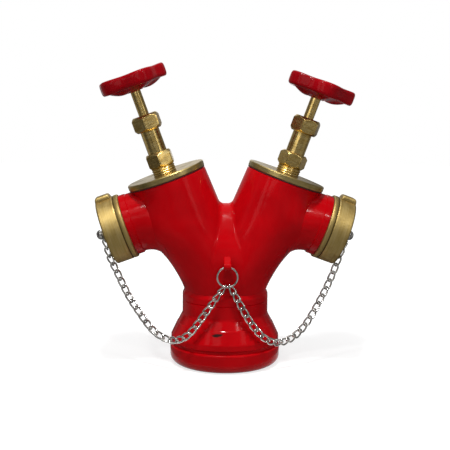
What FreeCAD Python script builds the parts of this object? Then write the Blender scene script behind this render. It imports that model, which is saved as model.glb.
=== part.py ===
import FreeCAD, Part
import math
import os

from FreeCAD import Vector

# Twin hydrant head, all sizes in millimetres.
# Frame: +Z up, +X to the right of the front view, -Y to the front.
# Origin: middle of the foot, on the surface it stands on.

# Foot and waist, turned about Z
foot_radius = 70.0
foot_height = 23.5
foot_edge_round = 11.0
foot_groove_depth = 3.4
foot_groove_slope = 1.5
foot_groove_top = 28.0
bell_base_step = 1.3
bell_base_height = 36.0
bell_base_round = 4.0
bell_ridge_radius = 60.4
bell_ridge_height = 53.0
bell_ridge_step = 0.8
waist_radius = 54.4
waist_bottom = 64.5
waist_top = 81.0
waist_line_depth = 0.8
foot_top_round = 2.0
waist_round = 6.0
bead_height = 90.0
bead_round = 4.0
shoulder_height = 96.5
shoulder_radius = 51.6
inlet_thread_radius = 55.0
inlet_thread_depth = 29.0
riser_radius = 43.0
riser_start = 48.0
riser_top = 82.0
passage_start_depth = 20.0
passage_inset = 1.5

# Valve barrels, each leaning away from the middle; stations run along the barrel axis
barrel_tilt = 20.0
axis_meet_height = 31.0
barrel_top = 217.0
barrel_top_radius = 49.6
barrel_root = 158.0
barrel_root_radius = 52.8
barrel_rim_chamfer = 1.5
barrel_wall = 7.6
chamber_floor = 147.0
chamber_floor_radius = 38.0
chamber_cone_height = 8.0
crotch_round = 7.0
casting_wall = 8.5

# Trunk wall from the shoulder up to the barrel: how far out, how far up, share of the barrel's lean
trunk_wall = [(9.0, 16.5, 0.35), (22.4, 37.0, 0.70), (37.1, 51.9, 0.95)]
trunk_sink = 6.0
trunk_inset = 0.5

# Web that fills the fork: (half depth, height) points of its saddle from the top down, and how far it sinks
web_saddle = [(0.0, 204.5), (12.0, 202.0), (25.0, 191.5), (36.0, 177.0), (46.0, 160.0)]
web_flat_top = 140.0
web_inset = 0.6

# Outlet stubs, square to the barrels; reaches run outwards from the barrel axis
stub_below_rim = 0.4
stub_step = 1.2
stub_root_reach = 30.0
stub_root_drop = 26.0
stub_root_swell = 4.0
stub_flare_reach = 41.0
stub_flare_drop = 5.5
stub_flare_swell = 1.2
stub_straight_reach = 52.0
collar_rise = 0.9
collar_reach = 57.0
collar_width = 8.6
outlet_thread_radius = 37.0
outlet_thread_length = 20.4
outlet_thread_chamfer = 1.0
outlet_bore_radius = 30.0

# Seat ring and valve disc
seat_height = 9.0
seat_bore_radius = 28.0
seat_outer_radius = 35.0
seat_lip_height = 1.5
seat_lip_width = 3.0
washer_radius = 33.0
washer_thickness = 5.0
disc_radius = 34.0
disc_thickness = 6.0
disc_hub_radius = 14.0
disc_hub_height = 16.0
disc_socket_depth = 15.0
disc_stud_radius = 4.0
disc_nut_flats = 13.0
disc_nut_height = 5.0

# Bonnet
gasket_thickness = 0.8
plate_overhang = 0.4
plate_thickness = 7.2
plate_edge_round = 1.0
plate_spigot_depth = 13.0
plate_bore_radius = 13.0
box_spigot_depth = 8.0
neck_radius = 14.2
neck_height = 9.0
box_hex_flats = 31.2
box_hex_height = 18.5
sleeve_radius = 12.0
sleeve_height = 37.5
packing_bore_radius = 9.8
packing_height = 18.0
packing_depth = 10.0
hex_chamfer_angle = 30.0

# Gland
gland_nut_flats = 32.4
gland_nut_height = 20.0
gland_nut_web = 5.0
gland_nut_grip = 11.0
follower_flange_radius = 11.4
follower_flange_height = 3.0
left_gland_backed_off = 2.5

# Spindle and handwheel
spindle_radius = 6.5
spindle_thread_radius = 8.0
spindle_thread_gap = 2.0
spindle_thread_length = 56.0
spindle_end_radius = 4.0
wheel_gap = 26.0
wheel_radius = 44.6
wheel_lobes = 5
wheel_lobe_depth = 2.0
lobe_points = 6
rim_height = 15.5
rim_width = 9.0
rim_round = 3.2
rim_rise = 6.7
wheel_hub_radius = 11.0
wheel_hub_height = 13.0
dish_thickness = 5.0
dish_lip = 3.4
dish_round = 3.0
wheel_washer_radius = 8.5
wheel_washer_thickness = 1.2
wheel_nut_flats = 13.0
wheel_nut_height = 5.5
left_valve_open = 7.5

# Outlet cap with its riveted stud
cap_wall = 4.5
cap_length = 29.5
cap_end_wall = 6.5
cap_band_width = 6.0
cap_groove_width = 1.2
cap_groove_depth = 1.0
cap_edge_round = 1.6
cap_boss_radius = 6.5
cap_boss_top_radius = 5.2
cap_boss_height = 4.0
cap_boss_round = 1.5
cap_lug_length = 20.0
cap_lug_width = 21.0
cap_lug_height = 4.8
cap_lug_round = 3.0
cap_lug_setback = 0.6
stud_radius = 2.0
stud_head_radius = 6.5
stud_head_height = 2.2
stud_dome_radius = 6.3
stud_dome_height = 6.2
stud_dome_round = 5.4

# Chain lug, split ring and chains
lug_hole_y = -58.5
lug_hole_height = 133.2
lug_hole_radius = 2.7
lug_nose_radius = 5.0
lug_width = 9.5
lug_edge_round = 2.0
lug_root_y = -44.0
lug_top_height = 150.0
ring_radius = 12.4
ring_wire_depth = 3.0
ring_wire_width = 2.3
ring_coil_groove = 0.5
ring_wire_bevel = 0.5
ring_chain_angle = 16.0
link_wire_radius = 1.2
link_inner_length = 11.4
link_inner_width = 4.6
link_twist = 45.0
link_pitch = 10.9
link_wire_sides = 6
link_end_steps = 4
roll_fade = 45.0
left_chain_route = [
    (-16.0, -59.5, 91.0), (-33.0, -61.0, 67.0), (-50.0, -58.0, 46.5), (-68.0, -47.0, 38.8),
    (-89.0, -34.0, 46.0), (-107.0, -24.0, 66.0), (-121.0, -17.0, 86.0),
]
right_chain_route = [
    (18.0, -60.0, 82.5), (34.0, -61.0, 57.0), (49.0, -57.0, 42.0), (69.0, -45.0, 35.2),
    (92.0, -31.0, 44.5), (107.0, -23.0, 61.5), (120.0, -17.0, 83.0),
]
# Where each chain hangs before the cap: down from the outlet axis, out from the cap's face, y
left_cap_route = [(46.0, 4.8, -7.0), (31.0, 6.4, -4.0), (16.0, 5.9, -1.5)]
right_cap_route = [(47.0, 4.4, -7.5), (30.0, 4.8, -3.5), (16.0, 5.3, -1.5)]

# Fits
fit_clearance = 0.03
running_clearance = 0.05
link_gap = 0.6
loose_clearance = 0.3
cutter_margin = 1.0
oval_points = 16
tolerance = 0.001

# Radii that follow from the pieces they fit
chamber_radius = barrel_top_radius - barrel_wall
plate_radius = barrel_top_radius + plate_overhang
stub_radius = outlet_thread_radius + stub_step
cap_radius = outlet_thread_radius + cap_wall
foot_groove_radius = foot_radius - foot_groove_depth
bell_base_radius = foot_radius - bell_base_step

# Stations along the barrel axis that several pieces share
outlet_station = barrel_top - stub_radius - stub_below_rim
plate_bottom = barrel_top + gasket_thickness
plate_top = plate_bottom + plate_thickness
box_bottom = plate_bottom - box_spigot_depth
box_hex_bottom = plate_top + neck_height
box_hex_top = box_hex_bottom + box_hex_height
sleeve_top = box_hex_top + sleeve_height
packing_top = sleeve_top - packing_depth
packing_bottom = packing_top - packing_height
gland_nut_bottom = sleeve_top - gland_nut_grip
gland_nut_top = gland_nut_bottom + gland_nut_height
gland_nut_web_bottom = gland_nut_top - gland_nut_web
washer_bottom = chamber_floor + seat_lip_height + loose_clearance
disc_bottom = washer_bottom + washer_thickness
disc_top = disc_bottom + disc_thickness
disc_hub_top = disc_top + disc_hub_height
spindle_foot = disc_hub_top - disc_socket_depth + loose_clearance
spindle_thread_start = disc_hub_top + spindle_thread_gap
wheel_station = gland_nut_top + wheel_gap
wheel_nut_station = wheel_station + wheel_hub_height + wheel_washer_thickness

# Reaches along the outlet axis that several pieces share
collar_end = collar_reach + collar_width
outlet_thread_end = collar_end + outlet_thread_length
cap_start = collar_end + loose_clearance
cap_end = cap_start + cap_length
cap_inner_face = cap_end - cap_end_wall
boss_top = cap_end + cap_boss_height
end_link_reach = boss_top + running_clearance + link_wire_radius
stud_dome_reach = end_link_reach + link_wire_radius + loose_clearance

SIDES = {"left": -1, "right": 1}


# Placing helpers

# Moves a shape drawn about +Z onto the barrel axis of one side.
def in_valve(shape, side):
    placed = shape.copy()
    placed.rotate(Vector(0, 0, 0), Vector(0, 1, 0), side * barrel_tilt)
    placed.translate(Vector(0, 0, axis_meet_height))
    return placed


# Moves a shape drawn about +Z, with +X upwards, onto the outlet axis of one side.
def in_outlet(shape, side):
    placed = shape.copy()
    if side > 0:
        placed.rotate(Vector(0, 0, 0), Vector(0, 0, 1), 180)
    placed.rotate(Vector(0, 0, 0), Vector(0, 1, 0), side * 90)
    placed.translate(Vector(0, 0, outlet_station))
    return in_valve(placed, side)


# Point of a barrel axis.
def valve_point(station, side):
    lean = math.radians(barrel_tilt)
    return Vector(side * station * math.sin(lean), 0, axis_meet_height + station * math.cos(lean))


# Point of an outlet axis.
def outlet_point(reach, side):
    lean = math.radians(barrel_tilt)
    outwards = Vector(side * math.cos(lean), 0, -math.sin(lean))
    return valve_point(outlet_station, side) + outwards * reach


# Drawing helpers

# Solid of revolution about Z of a closed outline of (radius, height) points.
def turned(profile):
    points = [Vector(r, 0, z) for r, z in profile]
    face = Part.Face(Part.makePolygon(points + points[:1]))
    return face.revolve(Vector(0, 0, 0), Vector(0, 0, 1), 360)


def cylinder(radius, bottom, top):
    return Part.makeCylinder(radius, top - bottom, Vector(0, 0, bottom))


def tube(outer, inner, bottom, top):
    return turned([(inner, bottom), (outer, bottom), (outer, top), (inner, top)])


# Rounds the circular edges that are named by radius, height and round.
def rounded(shape, rims):
    for radius, height, round_radius in rims:
        edges = []
        for edge in shape.Edges:
            if not isinstance(edge.Curve, Part.Circle):
                continue
            misses = (edge.Curve.Radius - radius, edge.Curve.Center.z - height)
            if max(abs(miss) for miss in misses) < tolerance:
                edges.append(edge)
        shape = shape.makeFillet(round_radius, edges)
    return shape


# Hexagon bar with both ends chamfered by a cone.
def hexagon(flats, bottom, top):
    corner = flats / math.sqrt(3)
    angles = [math.radians(60 * i) for i in range(6)]
    points = [Vector(corner * math.cos(a), corner * math.sin(a), bottom) for a in angles]
    bar = Part.Face(Part.makePolygon(points + points[:1])).extrude(Vector(0, 0, top - bottom))
    drop = (corner - flats / 2) * math.tan(math.radians(hex_chamfer_angle))
    envelope = turned([
        (0, bottom), (flats / 2, bottom), (corner, bottom + drop),
        (corner, top - drop), (flats / 2, top), (0, top),
    ])
    return bar.common(envelope)


# Closed smooth curve round a centre, with two half axes.
def oval(centre, half_one, half_two):
    points = []
    for i in range(oval_points):
        turn = 2 * math.pi * i / oval_points
        points.append(centre + half_one * math.cos(turn) + half_two * math.sin(turn))
    curve = Part.BSplineCurve()
    curve.interpolate(points, PeriodicFlag=True)
    return Part.Wire(curve.toShape())


# Leaning oval that starts at its outer wall point and spans its width towards +X.
def leaning_oval(wall, lean, width, half_depth):
    along = Vector(math.cos(math.radians(lean)), 0, math.sin(math.radians(lean)))
    return oval(wall + along * (width / 2), along * (width / 2), Vector(0, half_depth, 0))


# Body casting

# Outer wall point and inner wall point of the left barrel at a station.
def barrel_walls(station, radius):
    lean = math.radians(barrel_tilt)
    along = Vector(math.cos(lean), 0, math.sin(lean))
    centre = valve_point(station, -1)
    return centre - along * radius, centre + along * radius


# Width at which a leaning section meets the barrel's inner wall, carried on downwards.
def width_to_barrel_wall(wall, lean):
    along = Vector(math.cos(math.radians(lean)), 0, math.sin(math.radians(lean)))
    low = barrel_walls(barrel_root, barrel_root_radius)[1]
    high = barrel_walls(barrel_top, barrel_top_radius)[1]
    slope = high - low
    gap = low - wall
    return (gap.x * slope.z - gap.z * slope.x) / (along.x * slope.z - along.z * slope.x)


# Sections of the left trunk: wall point, lean, width, half depth.
def trunk_sections():
    start = shoulder_radius - trunk_inset
    sections = [(Vector(-start, 0, shoulder_height - trunk_sink), 0.0, 2 * start, start)]
    for out, up, share in trunk_wall:
        wall = Vector(-shoulder_radius - out, 0, shoulder_height + up)
        half_depth = shoulder_radius + share * (barrel_root_radius - shoulder_radius)
        width = min(2 * half_depth, width_to_barrel_wall(wall, share * barrel_tilt))
        sections.append((wall, share * barrel_tilt, width, half_depth))
    return sections


# Left trunk and barrel in one smooth skin, from the waist to the barrel's rim.
def branch():
    wires = [leaning_oval(*section) for section in trunk_sections()]
    for share in (0.0, 0.5, 1.0):
        station = barrel_root + share * (barrel_top - barrel_root)
        radius = barrel_root_radius + share * (barrel_top_radius - barrel_root_radius)
        wires.append(leaning_oval(barrel_walls(station, radius)[0], barrel_tilt, 2 * radius, radius))
    skin = Part.makeLoft(wires, True, False)
    inside, outside = barrel_top_radius - barrel_rim_chamfer, barrel_top_radius + cutter_margin
    rim_corner = turned([
        (inside, barrel_top + cutter_margin), (inside, barrel_top),
        (outside, barrel_top - barrel_rim_chamfer - cutter_margin), (outside, barrel_top + cutter_margin),
    ])
    return skin.cut(in_valve(rim_corner, -1))


# Middle of each trunk section, where the trunk is deepest: (point, half depth).
def deepest_line():
    line = []
    for wall, lean, width, half_depth in trunk_sections():
        along = Vector(math.cos(math.radians(lean)), 0, math.sin(math.radians(lean)))
        line.append((wall + along * (width / 2), half_depth))
    line.append((valve_point(barrel_root, -1), barrel_root_radius))
    return line


# Web between the barrels: flush with the trunk in front and behind, and a saddle on top.
def fork_web():
    line = deepest_line()
    left = [point for point, half_depth in line] + [valve_point(barrel_top, -1)]
    right = [Vector(-point.x, 0, point.z) for point in reversed(left[1:])]
    depth = 2 * (barrel_root_radius + cutter_margin)
    fork = Part.Face(Part.makePolygon(left + right + left[:1])).extrude(Vector(0, depth, 0))
    fork.translate(Vector(0, -depth / 2, 0))
    flush = [(half_depth - web_inset, point.z) for point, half_depth in line if point.z < web_flat_top]
    front = web_saddle + [(flush[-1][0], web_flat_top)] + flush[::-1]
    behind = [Vector(-depth, y, z) for y, z in reversed(front)]
    ahead = [Vector(-depth, -y, z) for y, z in front[1:]]
    curve = Part.BSplineCurve()
    curve.interpolate(behind + ahead)
    side = Part.Wire([curve.toShape(), Part.makeLine(ahead[-1], behind[0])])
    return fork.common(Part.Face(side).extrude(Vector(2 * depth, 0, 0)))


# Left outlet stub with its flared root, collar and hose thread.
def stub():
    roots = [
        (stub_root_reach, stub_root_drop, stub_root_swell),
        (stub_flare_reach, stub_flare_drop, stub_flare_swell),
        (stub_straight_reach, 0.0, 0.0),
        (collar_end - cutter_margin, 0.0, 0.0),
    ]
    wires = []
    for reach, drop, swell in roots:
        centre = Vector(-drop / 2, 0, reach)
        wires.append(oval(centre, Vector(stub_radius + drop / 2, 0, 0), Vector(0, stub_radius + swell, 0)))
    flare = Part.makeLoft(wires, True, False)
    collar_radius = stub_radius + collar_rise
    collar = turned([
        (0, collar_reach - cutter_margin), (stub_radius - cutter_margin, collar_reach - cutter_margin),
        (collar_radius, collar_reach + collar_rise),
        (collar_radius, collar_end), (outlet_thread_radius, collar_end),
        (outlet_thread_radius, outlet_thread_end - outlet_thread_chamfer),
        (outlet_thread_radius - outlet_thread_chamfer, outlet_thread_end), (0, outlet_thread_end),
    ])
    return in_outlet(flare.fuse(collar), -1)


# Foot flange, bell and waist.
def foot():
    turning = turned([
        (0, 0), (foot_radius, 0), (foot_radius, foot_height),
        (foot_groove_radius, foot_height + foot_groove_slope),
        (foot_groove_radius, foot_groove_top), (bell_base_radius, foot_groove_top + foot_groove_slope),
        (bell_base_radius, bell_base_height),
        (bell_ridge_radius + bell_ridge_step, bell_ridge_height - bell_ridge_step),
        (bell_ridge_radius, bell_ridge_height), (waist_radius, waist_bottom),
        (waist_radius, waist_top), (waist_radius - waist_line_depth, waist_top + waist_line_depth),
        (waist_radius, waist_top + 2 * waist_line_depth), (waist_radius, bead_height),
        (shoulder_radius, shoulder_height), (0, shoulder_height),
    ])
    return rounded(turning, [
        (foot_radius, 0, foot_edge_round), (foot_radius, foot_height, foot_top_round),
        (bell_base_radius, bell_base_height, bell_base_round),
        (waist_radius, waist_bottom, waist_round), (waist_radius, bead_height, bead_round),
    ])


# Eye for the split ring on the front of the trunk: rounded nose, sloping back, soft edges.
def chain_lug():
    side = -lug_width / 2
    low, high = lug_hole_height - lug_nose_radius, lug_hole_height + lug_nose_radius
    root_low, root_high = Vector(side, lug_root_y, low), Vector(side, lug_root_y, lug_top_height)
    nose_low, nose_high = Vector(side, lug_hole_y, low), Vector(side, lug_hole_y, high)
    tip = Vector(side, lug_hole_y - lug_nose_radius, lug_hole_height)
    outline = Part.Wire([
        Part.makeLine(root_low, nose_low), Part.Arc(nose_low, tip, nose_high).toShape(),
        Part.makeLine(nose_high, root_high), Part.makeLine(root_high, root_low),
    ])
    lug = Part.Face(outline).extrude(Vector(lug_width, 0, 0))
    rims = []
    for edge in lug.Edges:
        is_outside = edge.BoundBox.YMin < lug_root_y - tolerance
        if is_outside and edge.BoundBox.XLength < tolerance:
            rims.append(edge)
    return lug.makeFillet(lug_edge_round, rims)


# Everything that the water fills: chambers, seats, outlets, passages and inlet.
def water_way(left_half):
    wall, lean, width, half_depth = trunk_sections()[1]
    along = Vector(math.cos(math.radians(lean)), 0, math.sin(math.radians(lean)))
    start = riser_radius - passage_inset
    seat_bottom = chamber_floor - seat_height
    passage = Part.makeLoft([
        leaning_oval(Vector(-start, 0, riser_top - passage_start_depth), 0.0, 2 * start, start),
        leaning_oval(wall + along * casting_wall, lean, width - 2 * casting_wall,
                     half_depth - casting_wall),
        leaning_oval(barrel_walls(seat_bottom + cutter_margin, seat_bore_radius)[0], barrel_tilt,
                     2 * seat_bore_radius, seat_bore_radius),
    ], True, False)
    chamber = turned([
        (0, seat_bottom), (seat_outer_radius, seat_bottom),
        (seat_outer_radius, chamber_floor), (chamber_floor_radius, chamber_floor),
        (chamber_radius, chamber_floor + chamber_cone_height),
        (chamber_radius, barrel_top + cutter_margin), (0, barrel_top + cutter_margin),
    ])
    outlet = cylinder(outlet_bore_radius, 0, outlet_thread_end + cutter_margin)
    left = passage.fuse(in_valve(chamber, -1)).fuse(in_outlet(outlet, -1)).common(left_half)
    inlet = turned([
        (0, -cutter_margin), (inlet_thread_radius, -cutter_margin),
        (inlet_thread_radius, inlet_thread_depth), (riser_radius, riser_start),
        (riser_radius, riser_top), (0, riser_top),
    ])
    return left.fuse(mirrored(left)).fuse(inlet)


def mirrored(shape):
    return shape.mirror(Vector(0, 0, 0), Vector(1, 0, 0))


# Edges where the web meets the barrels, from the saddle's top down in front and behind.
def fork_edges(casting):
    found = []
    for edge in casting.Edges:
        box = edge.BoundBox
        is_steep = box.ZMax - box.ZMin > barrel_root - web_flat_top
        is_inside = max(abs(box.XMin), abs(box.XMax)) < barrel_root_radius
        if is_steep and is_inside and box.YLength > barrel_root_radius / 2:
            if abs(box.ZMax - web_saddle[0][1]) < tolerance:
                found.append(edge)
    return found


def body_casting():
    span = 2 * (barrel_top + axis_meet_height)
    left_half = Part.makeBox(span, 2 * span, span, Vector(-span, -span, 0))
    left = branch().fuse(stub()).common(left_half)
    casting = left.fuse(mirrored(left)).fuse(foot()).fuse(fork_web())
    casting = casting.makeFillet(crotch_round, fork_edges(casting))
    hole = Part.makeCylinder(lug_hole_radius, 2 * lug_width,
                             Vector(-lug_width, lug_hole_y, lug_hole_height), Vector(1, 0, 0))
    return casting.fuse(chain_lug()).cut(water_way(left_half)).cut(hole)


# Valve pieces, all turned about the barrel axis

def seat_ring():
    bottom = chamber_floor - seat_height
    lip = seat_bore_radius + seat_lip_width
    return turned([
        (seat_bore_radius, bottom), (seat_outer_radius - fit_clearance, bottom),
        (seat_outer_radius - fit_clearance, chamber_floor), (lip, chamber_floor),
        (lip, chamber_floor + seat_lip_height), (seat_bore_radius, chamber_floor + seat_lip_height),
    ])


def disc_washer():
    return tube(washer_radius, disc_stud_radius + fit_clearance, washer_bottom, disc_bottom)


# Disc with a socket for the spindle above and a stud for the washer below.
def valve_disc():
    socket = spindle_radius + running_clearance
    socket_floor = disc_hub_top - disc_socket_depth
    stud_end = washer_bottom - disc_nut_height
    return turned([
        (0, stud_end), (disc_stud_radius, stud_end), (disc_stud_radius, disc_bottom),
        (disc_radius, disc_bottom), (disc_radius, disc_top), (disc_hub_radius, disc_top),
        (disc_hub_radius, disc_hub_top), (socket, disc_hub_top), (socket, socket_floor),
        (0, socket_floor),
    ])


def disc_nut():
    bar = hexagon(disc_nut_flats, washer_bottom - disc_nut_height, washer_bottom)
    return bar.cut(cylinder(disc_stud_radius + fit_clearance, 0, disc_bottom))


def bonnet_gasket():
    return tube(barrel_top_radius, chamber_radius + fit_clearance, barrel_top, plate_bottom)


def bonnet_plate():
    spigot = chamber_radius - fit_clearance
    bottom = plate_bottom - plate_spigot_depth
    return turned([
        (plate_bore_radius + fit_clearance, bottom), (spigot - plate_edge_round, bottom),
        (spigot, bottom + plate_edge_round), (spigot, plate_bottom),
        (plate_radius - plate_edge_round, plate_bottom), (plate_radius, plate_bottom + plate_edge_round),
        (plate_radius, plate_top - plate_edge_round), (plate_radius - plate_edge_round, plate_top),
        (plate_bore_radius + fit_clearance, plate_top),
    ])


# Neck, hexagon and sleeve in one turned piece, threaded for the spindle and bored for the packing.
def stuffing_box():
    thread = spindle_thread_radius + running_clearance
    turning = turned([
        (thread, box_bottom), (plate_bore_radius, box_bottom), (plate_bore_radius, plate_top),
        (neck_radius, plate_top), (neck_radius, box_hex_bottom), (sleeve_radius, box_hex_bottom),
        (sleeve_radius, sleeve_top), (packing_bore_radius, sleeve_top),
        (packing_bore_radius, packing_bottom), (thread, packing_bottom),
    ])
    bar = hexagon(box_hex_flats, box_hex_bottom, box_hex_top)
    return turning.fuse(bar.cut(cylinder(sleeve_radius - cutter_margin, box_bottom, sleeve_top)))


def gland_packing(raised):
    return tube(packing_bore_radius - fit_clearance, spindle_radius + running_clearance,
                packing_bottom, packing_top + raised)


# Bush that the nut presses on the packing.
def gland_follower(raised):
    bore = spindle_radius + running_clearance
    bush = packing_bore_radius - fit_clearance
    flange_bottom = gland_nut_web_bottom - follower_flange_height
    follower = turned([
        (bore, packing_top), (bush, packing_top), (bush, flange_bottom),
        (follower_flange_radius, flange_bottom), (follower_flange_radius, gland_nut_web_bottom),
        (bore, gland_nut_web_bottom),
    ])
    follower.translate(Vector(0, 0, raised))
    return follower


# Cup nut on the sleeve.
def gland_nut(raised):
    nut = hexagon(gland_nut_flats, gland_nut_bottom, gland_nut_top)
    nut = nut.cut(cylinder(sleeve_radius + fit_clearance, gland_nut_bottom - cutter_margin,
                           gland_nut_web_bottom))
    nut = nut.cut(cylinder(spindle_radius + running_clearance, gland_nut_bottom,
                           gland_nut_top + cutter_margin))
    nut.translate(Vector(0, 0, raised))
    return nut


def spindle():
    thread_end = spindle_thread_start + spindle_thread_length
    top = wheel_nut_station + wheel_nut_height
    return turned([
        (0, spindle_foot), (spindle_radius, spindle_foot), (spindle_radius, spindle_thread_start),
        (spindle_thread_radius, spindle_thread_start), (spindle_thread_radius, thread_end),
        (spindle_radius, thread_end), (spindle_radius, wheel_station),
        (spindle_end_radius, wheel_station), (spindle_end_radius, top), (0, top),
    ])


# Lobed outline of the handwheel, drawn in by an inset, at a height.
def lobed(inset, height):
    points = []
    steps = lobe_points * wheel_lobes
    for i in range(steps):
        turn = 2 * math.pi * i / steps
        reach = wheel_radius - inset - wheel_lobe_depth * (1 - math.cos(wheel_lobes * turn)) / 2
        points.append(Vector(reach * math.cos(turn), reach * math.sin(turn), height))
    outline = Part.BSplineCurve()
    outline.interpolate(points, PeriodicFlag=True)
    return Part.Wire(outline.toShape())


# Lobed rim over a closed dish that cones out from the hub.
def handwheel():
    rim = Part.Face(lobed(0, rim_rise)).extrude(Vector(0, 0, rim_height))
    rim = rim.makeFillet(rim_round, [e for e in rim.Edges if e.Length > wheel_radius])
    dish = Part.makeLoft([
        Part.Wire(Part.makeCircle(wheel_hub_radius)), lobed(dish_lip, rim_rise + dish_lip / 2),
    ], True, True)
    rim_inside = wheel_radius - wheel_lobe_depth - rim_width
    recess_floor = rim_rise + dish_thickness
    recess = turned([
        (wheel_hub_radius, dish_thickness), (rim_inside, recess_floor),
        (rim_inside, rim_rise + rim_height + cutter_margin),
        (wheel_hub_radius, rim_rise + rim_height + cutter_margin),
    ])
    recess = rounded(recess, [(rim_inside, recess_floor, dish_round)])
    hub_room = cylinder(wheel_hub_radius + cutter_margin, wheel_hub_height, 2 * (rim_rise + rim_height))
    bore = cylinder(spindle_end_radius + fit_clearance, -cutter_margin, 2 * wheel_hub_height)
    wheel = rim.fuse(dish).cut(recess).cut(hub_room).cut(bore)
    wheel.translate(Vector(0, 0, wheel_station))
    return wheel


def wheel_washer():
    bottom = wheel_station + wheel_hub_height
    return tube(wheel_washer_radius, spindle_end_radius + fit_clearance, bottom, wheel_nut_station)


def wheel_nut():
    nut = hexagon(wheel_nut_flats, wheel_nut_station, wheel_nut_station + wheel_nut_height)
    return nut.cut(cylinder(spindle_end_radius + fit_clearance, 0, 2 * wheel_nut_station))


# Cap pieces, all turned about the outlet axis

# Threaded cap: narrow band, groove, main band with one spanner lug, coned boss.
def outlet_cap():
    groove = cap_start + cap_band_width
    bore = outlet_thread_radius + running_clearance
    cap = turned([
        (bore, cap_start), (cap_radius - cap_edge_round, cap_start),
        (cap_radius, cap_start + cap_edge_round),
        (cap_radius, groove), (cap_radius - cap_groove_depth, groove),
        (cap_radius - cap_groove_depth, groove + cap_groove_width), (cap_radius, groove + cap_groove_width),
        (cap_radius, cap_end - cap_edge_round), (cap_radius - cap_edge_round, cap_end),
        (cap_boss_radius, cap_end), (cap_boss_top_radius, boss_top),
        (stud_radius + running_clearance, boss_top), (stud_radius + running_clearance, cap_inner_face),
        (bore, cap_inner_face),
    ])
    cap = rounded(cap, [
        (cap_boss_radius, cap_end, cap_boss_round), (cap_boss_top_radius, boss_top, cap_boss_round),
    ])
    lug_sink = cap_radius - bore - cutter_margin
    lug = Part.makeBox(
        cap_lug_height + lug_sink, cap_lug_width, cap_lug_length,
        Vector(cap_radius - lug_sink, -cap_lug_width / 2, cap_end - cap_lug_setback - cap_lug_length))
    outer = [e for e in lug.Edges if e.BoundBox.XMax > cap_radius]
    return cap.fuse(lug.makeFillet(cap_lug_round, outer))


def cap_gasket():
    return tube(outlet_thread_radius - fit_clearance, outlet_bore_radius,
                outlet_thread_end + loose_clearance, cap_inner_face)


# Swivel rivet through the cap: head inside, end link of the chain under a dome outside.
def cap_stud():
    head_top = cap_inner_face - running_clearance
    dome_top = stud_dome_reach + stud_dome_height
    stud = turned([
        (0, head_top - stud_head_height), (stud_head_radius, head_top - stud_head_height),
        (stud_head_radius, head_top), (stud_radius, head_top), (stud_radius, stud_dome_reach),
        (stud_dome_radius, stud_dome_reach), (stud_dome_radius, dome_top), (0, dome_top),
    ])
    return rounded(stud, [(stud_dome_radius, dome_top, stud_dome_round)])


# Ring and chains

def ring_centre():
    return Vector(0, lug_hole_y, lug_hole_height - loose_clearance - ring_radius)


# Two close turns of wire, seen as a groove round the ring.
def split_ring():
    inner = ring_radius - ring_wire_width / 2
    outer = ring_radius + ring_wire_width / 2
    half = ring_wire_depth / 2
    flank = half - ring_wire_bevel
    ring = turned([
        (inner + ring_wire_bevel, -half), (outer - ring_wire_bevel, -half), (outer, -flank),
        (outer, -ring_coil_groove), (outer - ring_coil_groove, 0), (outer, ring_coil_groove),
        (outer, flank), (outer - ring_wire_bevel, half), (inner + ring_wire_bevel, half),
        (inner, flank), (inner, ring_coil_groove), (inner + ring_coil_groove, 0),
        (inner, -ring_coil_groove), (inner, -flank),
    ])
    ring.rotate(Vector(0, 0, 0), Vector(1, 0, 0), 90)
    ring.translate(ring_centre())
    return ring


# Half length of a link's wire line, from its middle to the top of its bend.
link_straight = (link_inner_length - link_inner_width) / 2
link_bend = link_inner_width / 2 + link_wire_radius
link_reach = link_straight + link_bend


# One link along X: a stadium of wire whose two ends are twisted opposite ways.
def chain_link(full_twist):
    rings = []
    for end in (0, 180):
        for step in range(link_end_steps + 1):
            angle = math.radians(end - 90 + 180 * step / link_end_steps)
            outwards = Vector(math.cos(angle), math.sin(angle), 0)
            middle = Vector(link_straight * math.cos(math.radians(end)), 0, 0) + outwards * link_bend
            twist = FreeCAD.Rotation(Vector(1, 0, 0), full_twist * middle.x / link_reach)
            ring = []
            for side in range(link_wire_sides):
                turn = 2 * math.pi * (side + 0.5) / link_wire_sides
                skin = outwards * math.cos(turn) + Vector(0, 0, 1) * math.sin(turn)
                ring.append(twist.multVec(middle + skin * link_wire_radius))
            rings.append(ring)
    faces = []
    for i, ring in enumerate(rings):
        following = rings[(i + 1) % len(rings)]
        for j in range(link_wire_sides):
            k = (j + 1) % link_wire_sides
            for corners in ((ring[j], following[j], following[k]), (ring[j], following[k], ring[k])):
                faces.append(Part.Face(Part.makePolygon(list(corners) + [corners[0]])))
    shell = Part.makeShell(faces)
    shell.sewShape()
    link = Part.makeSolid(shell)
    if link.Volume < 0:
        link.reverse()
    return link


# Point before the cap's face, by its drop from the outlet axis, its stand-off and its y.
def cap_point(drop, stand_off, y, side):
    lean = math.radians(barrel_tilt)
    upwards = Vector(side * math.sin(lean), 0, math.cos(lean))
    return outlet_point(cap_end + stand_off, side) - upwards * drop + Vector(0, y, 0)


# Places a link by its middle, the way it runs and the way it faces, after a roll about its length.
def placed_link(model, spot, along, front, roll):
    across = front.cross(along)
    frame = FreeCAD.Matrix(
        along.x, across.x, front.x, spot.x, along.y, across.y, front.y, spot.y,
        along.z, across.z, front.z, spot.z, 0, 0, 0, 1)
    link = model.copy()
    link.rotate(Vector(0, 0, 0), Vector(1, 0, 0), roll)
    link.Placement = FreeCAD.Placement(frame).multiply(link.Placement)
    return link


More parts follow.
